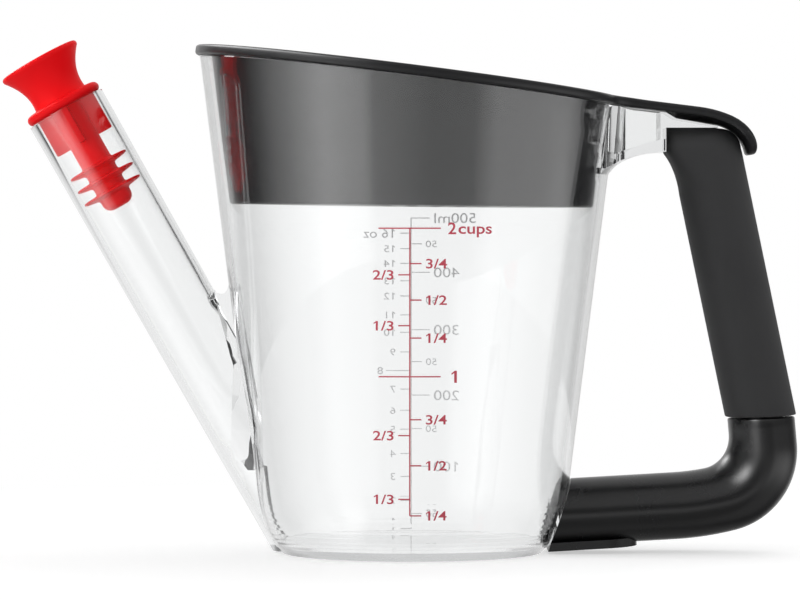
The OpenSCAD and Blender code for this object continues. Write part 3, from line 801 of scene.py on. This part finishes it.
ELBOW_W, ELBOW_D, LEG_LEAN = 17.4, 22.8, math.radians(5)
BEND_R, BEND_H, BEND_TURN = 12.7, 26.4, math.radians(81)
SWEEP_R, SWEEP_TURN = 75.0, math.radians(10.7)
PAD_X, PAD_H, PAD_SLANT, PAD_GAP = HEEL_R + 0.2, 18.7, math.radians(18.4), 0.1
# The inner corner follows a wider arc than the bend's own
CORNER_R, TIGHT_R = 8.5, BEND_R - ELBOW_W / 2
CORNER_BACK = (CORNER_R - TIGHT_R) / math.cos(BEND_TURN / 2)
CORNER_REACH = (CORNER_R - TIGHT_R) * math.tan(BEND_TURN / 2)


def oval(wide, deep, steps=10):
    """An oval of four arcs, anticlockwise."""
    end_r = 0.34 * wide
    end_y = deep / 2 - end_r
    side_r = ((wide / 2) ** 2 + end_y ** 2 - end_r ** 2) / (wide - 2 * end_r)
    side_x = side_r - wide / 2
    join = math.degrees(math.atan2(end_y, side_x))
    points = arc((-side_x, 0), side_r, -join, join, 2 * steps)[:-1]
    points += arc((0, end_y), end_r, join, 180 - join, steps)[:-1]
    points += arc((side_x, 0), side_r, 180 - join, 180 + join, 2 * steps)[:-1]
    points += arc((0, -end_y), end_r, 180 + join, 360 - join, steps)[:-1]
    return points


def ease_before(distance):
    """How far the wider corner lies inside the section, at a distance before the bend."""
    return CORNER_R - math.sqrt(CORNER_R ** 2 - max(0, CORNER_REACH - distance) ** 2)


def build_elbow():
    """The hard elbow as one sweep, from the core inside the grip to the slanted pad."""
    section = oval(ELBOW_W, ELBOW_D)
    count = len(section)
    leg_z = BEND_H + BEND_R * math.sin(LEG_LEAN)
    leg_x = PARTING_X + (PARTING_H - leg_z) * math.tan(LEG_LEAN)
    bend_eye = Vector((leg_x - BEND_R * math.cos(LEG_LEAN), BEND_H))
    bend_last = LEG_LEAN - BEND_TURN
    sweep_eye = bend_eye + (BEND_R - SWEEP_R) * direction(bend_last)
    points = []

    def put(eye, r, turn, ease, rise=0.0):
        """A ring of the section across the path, at an angle of its bend.

        ease moves the inner side inwards, and rise moves the ring along the path.
        """
        out = direction(turn)
        up = Vector((-out.y, out.x))
        for n, y in section:
            inner = max(0, -n) / (ELBOW_W / 2)
            spot = eye + (r + n - ease * inner * inner) * out + rise * up
            points.append((spot.x, y, spot.y))

    # The core, from its top down to the parting line
    for z in (99.5, PARTING_H):
        for n, y in oval(2 * CORE_HALF_W, 2 * CORE_HALF_D):
            x = PARTING_X + (PARTING_H - z) * GRIP_SLOPE + n / math.cos(GRIP_LEAN)
            points.append((x, y, z + (n * PARTING_RISE if z == PARTING_H else 0)))
    # The leg's outline moved up its slope to the parting line, with a round edge
    out = direction(LEG_LEAN)
    up = Vector((-out.y, out.x))
    for slim, drop in ((0.4, 0), (0.12, 0.1), (0, 0.4)):
        scale = 1 - slim / 9
        for n, y in section:
            spot = bend_eye + (BEND_R + n * scale) * out
            gap = PARTING_H - drop + (spot.x - PARTING_X) * PARTING_RISE - spot.y
            spot += up * gap / (up.y - up.x * PARTING_RISE)
            points.append((spot.x, y * scale, spot.y))
    # The leg, the tight bend and the wide sweep
    leg_steps, bend_steps, sweep_steps = 7, 32, 18
    for i in range(leg_steps):
        rise = 5.0 * (1 - i / leg_steps)
        put(bend_eye, BEND_R, LEG_LEAN, ease_before(rise), rise)
    for i in range(bend_steps + 1):
        side = BEND_TURN * (i / bend_steps - 0.5)
        across = CORNER_BACK * math.sin(side)
        near = math.sqrt(CORNER_R ** 2 - across ** 2) - CORNER_BACK * math.cos(side)
        put(bend_eye, BEND_R, LEG_LEAN - BEND_TURN * i / bend_steps, TIGHT_R - near)
    for i in range(1, sweep_steps + 1):
        turn = SWEEP_TURN * i / sweep_steps
        put(sweep_eye, SWEEP_R, bend_last - turn, ease_before(turn * (SWEEP_R - ELBOW_W / 2)))

    # The straight run ends at the pad's slanted face, or at the heel where that is further out
    out = direction(bend_last - SWEEP_TURN)
    along = Vector((out.y, -out.x))

    def end_spot(n, y):
        spot = sweep_eye + (SWEEP_R + n) * out
        for _ in range(6):
            face = PAD_X + (spot.y - PAD_H) * math.tan(PAD_SLANT)
            heel = math.sqrt((wall_r(max(0, spot.y)) + PAD_GAP) ** 2 - y * y)
            spot = spot + along * (spot.x - max(face, heel)) / -along.x
        return (spot.x, y, spot.y)

    starts, ends = points[-count:], [end_spot(n, y) for n, y in section]
    for part in (0.25, 0.5, 0.75, 1):
        for a, b in zip(starts, ends):
            points.append(tuple(p + (q - p) * part for p, q in zip(a, b)))
    for scale in (0.85, 0.6, 0.3):
        points += [end_spot(n * scale, y * scale) for n, y in section]
    faces = stitch(0, len(points) // count, count)
    faces += [cap(0, count), cap(len(points) - count, count)]
    return points, faces


# ---- Printed scales ----------------------------------------------------------------------------

INK_LIFT = 0.06
PRINT_STEP = 1.5
CAPITAL_H = 0.7


class Print:
    """Flat shapes in millimetres across and up, wrapped on the cup's outer wall."""

    def __init__(self, name, front, line, bold):
        self.name = name
        self.side = 1 if front else -1
        self.line = line
        self.bold = bold
        self.mesh = bmesh.new()

    def wrap(self, u, z):
        """Point on the wall. u runs to the reader's right, and z is the height."""
        r = wall_r(z) + INK_LIFT
        turn = u / r
        return Vector((self.side * r * math.sin(turn), -self.side * r * math.cos(turn), z)) * MM

    def bar(self, u0, u1, z0, z1):
        """A bar, in steps short enough to follow the wall."""
        steps = max(1, math.ceil(abs(u1 - u0) / PRINT_STEP))
        rises = max(1, math.ceil(abs(z1 - z0) / PRINT_STEP))
        grid = []
        for j in range(rises + 1):
            z = z0 + (z1 - z0) * j / rises
            spots = [self.wrap(u0 + (u1 - u0) * i / steps, z) for i in range(steps + 1)]
            grid.append([self.mesh.verts.new(spot) for spot in spots])
        for low, high in zip(grid, grid[1:]):
            for i in range(steps):
                self.mesh.faces.new((low[i], low[i + 1], high[i + 1], high[i]))

    def across(self, u0, u1, z):
        """A level line."""
        self.bar(u0, u1, z - self.line / 2, z + self.line / 2)

    def text(self, words, u, z, height, align="LEFT", wide=1.3):
        """Letters with their middle at the height z. A leading 1 gets its flag."""
        letter_curve = bpy.data.curves.new("letters", "FONT")
        letter_curve.body = words
        letter_curve.align_x = align
        letter_curve.size = height / CAPITAL_H
        letter_curve.offset = self.bold * height
        letter_curve.resolution_u = 4
        letters = bpy.data.objects.new("letters", letter_curve)
        flat = bpy.data.meshes.new_from_object(letters)
        start = len(self.mesh.verts)
        self.mesh.from_mesh(flat)
        self.mesh.verts.ensure_lookup_table()
        fresh = self.mesh.verts[start:]
        left = min(vert.co.x for vert in fresh)
        top = max(vert.co.y for vert in fresh)
        for vert in fresh:
            vert.co = self.wrap(u + vert.co.x * wide, z + vert.co.y - height / 2)
        if words[0] == "1":
            stem, out = left + 0.06 * height, 0.24 * height
            down, thick = 0.2 * height, 0.15 * height
            flag = ((stem, top), (stem - out, top - down),
                    (stem - out, top - down - thick), (stem, top - thick))
            corners = [self.wrap(u + x * wide, z + y - height / 2) for x, y in flag]
            self.mesh.faces.new([self.mesh.verts.new(corner) for corner in corners])
        bpy.data.objects.remove(letters)
        bpy.data.curves.remove(letter_curve)
        bpy.data.meshes.remove(flat)

    def finish(self, material):
        """Makes the piece, which rides on the jug."""
        mesh = bpy.data.meshes.new(self.name)
        self.mesh.normal_update()
        self.mesh.to_mesh(mesh)
        self.mesh.free()
        piece = bpy.data.objects.new(self.name, mesh)
        bpy.context.scene.collection.objects.link(piece)
        mesh.materials.append(material)
        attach(piece, "jug")


def cup_scale():
    """The front scale, in cups: the height of each mark above the table."""
    ink = Print("cup_scale", True, 0.34, 0.02)
    stem, half, low, one, two = -0.55, 0.17, 12.0, 47.1, 84.2
    tick, gap, size = 2.9, 3.8, 2.35
    quarters = (("1/4", low), ("1/2", 24.7), ("3/4", 36.3),
                ("1/4", 56.8), ("1/2", 66.3), ("3/4", 75.4))
    thirds = (("1/3", 16.2), ("2/3", 32.3), ("1/3", 59.9), ("2/3", 72.6))
    ink.bar(stem - half, stem + half, low, two + half)
    for z in (one, two):
        ink.across(-8.4, 7.2, z)
    for words, z in quarters:
        ink.across(stem, stem + tick, z)
        ink.text(words, stem + gap, z, size)
    for words, z in thirds:
        ink.across(stem - tick, stem, z)
        ink.text(words, stem - gap, z, size, "RIGHT")
    ink.text("1", 9.6, one, 3.0)
    ink.text("2", 8.9, two, 2.9, wide=1.1)
    ink.text("cups", 11.5, two, 2.7)
    return ink


def metric_scale():
    """The back scale, in ounces on the reader's right and millilitres on the left."""
    ink = Print("metric_scale", False, 0.23, 0)
    ounces = (4.3, 10.8, 17.3, 23.4, 29.9, 35.0, 40.7, 45.7,
              50.7, 56.0, 60.7, 65.8, 69.9, 74.6, 78.6, 82.8)
    hundreds = (20.0, 39.1, 56.7, 72.2, 86.9)
    fifties = (7.8, 30.1, 48.1, 64.6, 79.9)
    ink.bar(-0.14, 0.14, ounces[0], hundreds[-1])
    for i, z in enumerate(ounces, 1):
        ink.across(0, 3.0 if i != 8 else 7.0, z)
        if i == 16:
            ink.text("16 oz", 4.2, z, 2.5, wide=1.15)
        else:
            ink.text(str(i), 4.2 if i != 8 else 7.8, z, 1.9)
    for i, z in enumerate(hundreds, 1):
        ink.across(-5.2, 0, z)
        ink.text("500ml" if i == 5 else str(100 * i), -6.2, z, 2.7, "RIGHT")
    for z in fifties:
        ink.across(-3.0, 0, z)
        ink.text("50", -4.0, z, 1.8, "RIGHT")
    return ink


# ---- Floor, world and lamps ----------------------------------------------------------------------

FLOOR_R, FLOOR_Z = 0.34, -0.0002
FLOOR_GLOW = 0.5
WORLD_LIGHT = 0.45
# The studio's brightness in reflections, by direction in degrees:
# 0 is the camera's side, and 90 is over +X
ROOM_TOP = 5
ROOM = ((-180, 0.9), (-145, 0.8), (-128, 0.05), (-106, 0.05), (-96, 0.4), (-76, 1.3),
        (-52, 2.8), (-28, 2.2), (-21, 1.3), (12, 0.8), (36, 0.85), (50, 1.7),
        (100, 1.5), (118, 0.6), (136, 0.06), (150, 0.8), (180, 0.9))
# High on the left hangs a bright box.
# It is dimmer and higher for rays that came through the clear plastic
BOX_GLOW, BOX_GLOW_INSIDE, CEILING_GLOW = 13, 0.7, 0.7
BOX_LIFT_INSIDE = 0.12
# Soft boxes: azimuth, height, distance, width, tallness, radiance, and the height they face
LAMPS = {
    "left_box": (-50, 0.25, 1.3, 0.85, 1.4, 2.0, 0.25),
    "right_box": (78, 0.25, 1.3, 1.5, 1.4, 1.3, 0.25),
    "top_box": (150, 1.2, 0.5, 1.0, 0.8, 1.2, 0.05),
}


def add_world():
    """White behind the object, softer light on it, and a studio room in its reflections."""
    world = bpy.data.worlds.new("studio")
    bpy.context.scene.world = world
    world.use_nodes = True
    graph = Graph(world.node_tree)
    place = graph.add("ShaderNodeTexCoord")
    split = graph.add("ShaderNodeSeparateXYZ")
    graph.put(split.inputs["Vector"], place.outputs["Generated"])
    x, y, z = (split.outputs[axis] for axis in "XYZ")

    # The walls, by azimuth
    turn = graph.combine("ARCTAN2", x, graph.combine("MULTIPLY", y, -1))
    ramp = graph.add("ShaderNodeValToRGB")
    graph.put(ramp.inputs["Fac"], graph.spread(turn, 0, 1, -math.pi, math.pi))
    stops = ramp.color_ramp.elements
    for azimuth, _ in ROOM[1:-1]:
        stops.new((azimuth + 180) / 360)
    for stop, (azimuth, level) in zip(stops, ROOM):
        grey = level / ROOM_TOP
        stop.position = (azimuth + 180) / 360
        stop.color = (grey, grey, grey, 1)
    around = graph.add("ShaderNodeSeparateColor")
    graph.put(around.inputs["Color"], ramp.outputs["Color"])

    # They are dimmer above the horizon but not behind the object,
    # and dimmer steeply below it but not on the left
    upper = graph.spread(x, 0.5 * ROOM_TOP, 0.12 * ROOM_TOP, -0.55, -0.42)
    level = graph.blend(graph.spread(z, 0, 1, -0.15, -0.02), ROOM_TOP, upper)
    behind = graph.spread(y, 0, ROOM_TOP, 0.5, 0.8)
    shade = graph.combine("MAXIMUM", level, behind)
    steep = graph.combine("MAXIMUM", graph.spread(z, 0.25, 1, -0.5, -0.3),
                          graph.spread(x, 1, 0.25, -0.6, -0.45))
    dimming = graph.combine("MULTIPLY", shade, steep)
    walls = graph.combine("MULTIPLY", around.outputs["Red"], dimming)

    # The ceiling and the box
    path = graph.add("ShaderNodeLightPath")
    inner = graph.combine("GREATER_THAN", path.outputs["Transmission Depth"], 0.5)
    box = graph.blend(inner, BOX_GLOW, BOX_GLOW_INSIDE)
    above = graph.blend(graph.spread(x, 1, 0, -0.68, -0.36), CEILING_GLOW, box)
    height = graph.combine("SUBTRACT", z, graph.combine("MULTIPLY", inner, BOX_LIFT_INSIDE))
    room = graph.blend(graph.spread(height, 0, 1, 0.28, 0.48), walls, above)

    # White for the camera, also through the clear plastic
    lit = graph.blend(path.outputs["Is Glossy Ray"], WORLD_LIGHT, room)
    straight = graph.combine("LESS_THAN", path.outputs["Glossy Depth"], 0.5)
    through = graph.combine("MULTIPLY", path.outputs["Is Transmission Ray"], straight)
    shown = graph.combine("MAXIMUM", path.outputs["Is Camera Ray"], through)
    graph.set(graph.nodes["Background"], {
        "Color": (1, 1, 1, 1),
        "Strength": graph.blend(shown, lit, 1),
    })


def add_floor():
    """A pale round table. It keeps the object's shadow near the foot and is white further out."""
    steps = 96
    mesh = bpy.data.meshes.new("floor")
    mesh.from_pydata([(x, y, FLOOR_Z) for x, y in circle(FLOOR_R, steps)], [], [cap(0, steps)])
    floor = bpy.data.objects.new("floor", mesh)
    bpy.context.scene.collection.objects.link(floor)
    material, graph, shader, output = new_material("floor")
    graph.set(shader, {"Base Color": (0.8, 0.8, 0.8, 1), "Roughness": 0.9, "Specular IOR Level": 0})
    place = graph.add("ShaderNodeNewGeometry")
    length = graph.add("ShaderNodeVectorMath", operation="LENGTH")
    graph.put(length.inputs[0], place.outputs["Position"])
    far = graph.spread(length.outputs["Value"], 0, 1, 0.11, 0.3)
    path = graph.add("ShaderNodeLightPath")
    camera = path.outputs["Is Camera Ray"]
    glow = graph.add("ShaderNodeEmission")
    graph.put(glow.inputs["Strength"], graph.combine("MULTIPLY", camera, FLOOR_GLOW))
    near = graph.add("ShaderNodeAddShader")
    graph.put(near.inputs[0], shader.outputs["BSDF"])
    graph.put(near.inputs[1], glow.outputs["Emission"])
    white = graph.add("ShaderNodeEmission")
    far_white = graph.combine("MULTIPLY", far, camera)
    shown = graph.combine("MAXIMUM", far_white, path.outputs["Is Transmission Ray"])
    surface = graph.blend_shaders(shown, near.outputs["Shader"], white.outputs["Emission"])
    graph.put(output.inputs["Surface"], surface)
    mesh.materials.append(material)
    floor.visible_glossy = False


def add_lamp(name, azimuth, height, distance, width, tall, radiance, facing):
    """A soft box that faces the jug. Azimuth 0 is behind the camera, and 90 is over +X."""
    data = bpy.data.lights.new(name, "AREA")
    data.shape = "RECTANGLE"
    data.size, data.size_y = width, tall
    data.energy = radiance * math.pi * width * tall
    lamp = bpy.data.objects.new(name, data)
    a = math.radians(azimuth)
    lamp.location = Vector((math.sin(a) * distance, -math.cos(a) * distance, height))
    aim = Vector((0, 0, facing))
    lamp.rotation_euler = (aim - lamp.location).to_track_quat("-Z", "Z").to_euler()
    lamp.visible_glossy = False
    lamp.visible_transmission = False
    bpy.context.scene.collection.objects.link(lamp)


# ---- The scene -----------------------------------------------------------------------------------

bpy.context.scene.view_settings.view_transform = "Standard"
add_camera()
add_world()
add_floor()
for name, values in LAMPS.items():
    add_lamp(name, *values)

LID, CLEAR, RED = lid_plastic(), clear_plastic(), stopper_silicone()
BLACK, SOFT, STEEL = frame_plastic(), grip_rubber(), screw_steel()
FINISH = {"jug_body": CLEAR, "strainer_lid": LID, "spout_stopper": RED, "handle_frame": BLACK,
          "soft_grip": SOFT, "handle_screw": STEEL, "screw_cover": BLACK}
smoothing = smooth_modifier()
for node, finish in FINISH.items():
    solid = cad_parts[node]
    solid.data.materials.clear()
    solid.data.materials.append(finish)
    solid.modifiers.new("smooth", "NODES").node_group = smoothing

add_piece("rim_and_tab", *build_rim(), LID, "lid", "lid_plastic", "strainer_lid")
add_piece("skirt_and_strainer", *build_basin(), LID, "lid", "lid_plastic", "strainer_lid")
add_piece("stopper", *build_stopper(), RED, "stopper", "stopper_silicone", "spout_stopper")
add_piece("grip_sleeve", *build_grip(), SOFT, "jug", "grip_rubber", "soft_grip")
add_piece("elbow_and_core", *build_elbow(), BLACK, "jug", "frame_plastic", "handle_frame")
cup_scale().finish(print_ink("red_ink", (0.56, 0.05, 0.085), 0.05))
metric_scale().finish(print_ink("grey_ink", (0.88, 0.88, 0.88), 0.06))
